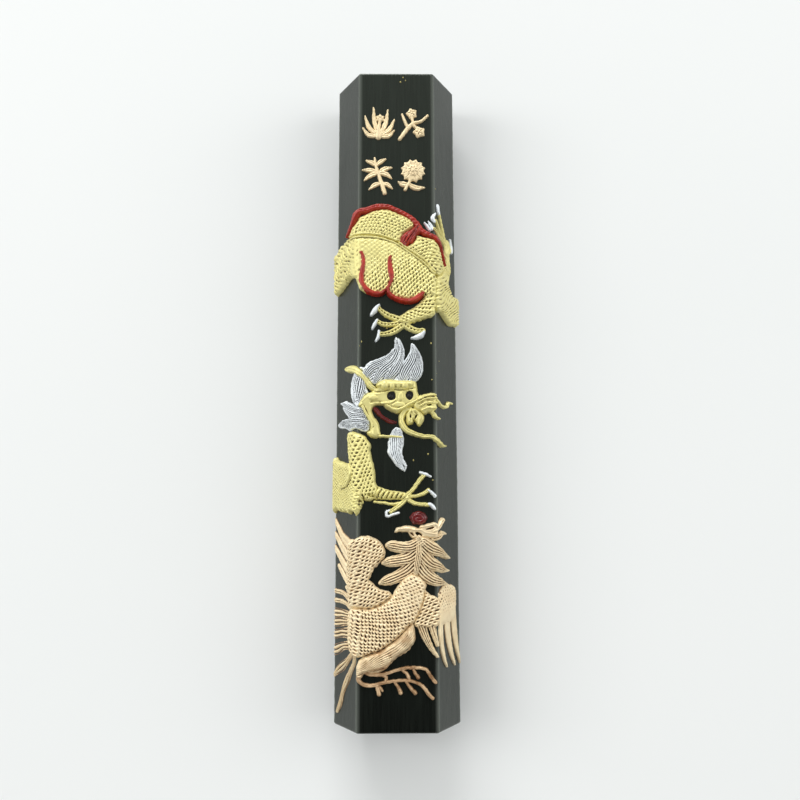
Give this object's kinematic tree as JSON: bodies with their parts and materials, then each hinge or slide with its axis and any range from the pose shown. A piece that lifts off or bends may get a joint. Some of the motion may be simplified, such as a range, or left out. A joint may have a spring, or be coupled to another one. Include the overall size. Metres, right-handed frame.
{
  "type": "ink stick",
  "caption": "Six-sided presentation ink stick with a dragon, a phoenix and plant sprigs in painted low relief.",
  "frame": {"origin": "centre of the plain back face, on which the stick lies", "axes": "+X across the stick, +Y along it towards the end with the plant sprigs, +Z out of the decorated face"},
  "size_m": [0.0488, 0.24, 0.0322],
  "materials": {
    "ink": "satin black pressed soot and glue, fine polish streaks",
    "pale_gold": "pale gold paint",
    "dragon_gold": "pale brassy gold paint, dark in the recesses",
    "rose_gold": "champagne gold paint, brown in the recesses",
    "silver": "silver white paint",
    "red_lacquer": "glossy red paint",
    "black_lacquer": "glossy black paint"
  },
  "bodies": {
    "root": {"bamboo_sprig": "pale_gold", "beard": "silver", "belly_flame_left": "red_lacquer", "belly_flame_middle": "red_lacquer", "brow": "dragon_gold", "chin_bar": "dragon_gold", "chrysanthemum_sprig": "pale_gold", "coil_back": "dragon_gold", "coil_belly": "dragon_gold", "coil_shoulder": "dragon_gold", "coil_wrap_right": "dragon_gold", "dorsal_fin": "red_lacquer", "dragon_head": "dragon_gold", "dragon_neck": "dragon_gold", "eye_left": "black_lacquer", "eye_right": "black_lacquer", "foot_lower": "rose_gold", "foot_upper": "rose_gold", "fore_claw_1": "silver", "fore_claw_2": "silver", "fore_claw_3": "silver", "fore_claw_4": "silver", "foreleg": "dragon_gold", "hackle_plumes": "rose_gold", "hind_claw_1": "silver", "hind_claw_2": "silver", "hind_claw_3": "silver", "hind_claw_4": "silver", "hind_leg": "dragon_gold", "horn": "dragon_gold", "ink_body": "ink", "left_wing": "rose_gold", "left_wing_quills": "rose_gold", "lower_coil": "dragon_gold", "lower_whisker": "dragon_gold", "mane_back": "silver", "mane_cheek": "silver", "mane_crest": "silver", "orchid_sprig": "pale_gold", "pearl": "red_lacquer", "phoenix_body": "rose_gold", "phoenix_head": "rose_gold", "plum_sprig": "pale_gold", "rear_claw_1": "silver", "rear_claw_2": "silver", "rear_claw_3": "silver", "rear_claw_4": "silver", "rear_claw_5": "silver", "rear_leg": "dragon_gold", "right_shoulder": "rose_gold", "right_wing": "rose_gold", "snout": "dragon_gold", "tail_plume_broad": "rose_gold", "tail_plume_low": "rose_gold", "tail_plumes_middle": "rose_gold", "tail_plumes_top": "rose_gold", "tail_plumes_trailing": "rose_gold", "thigh": "rose_gold", "tongue": "red_lacquer", "upper_whisker": "dragon_gold"}
  },
  "joints": []
}
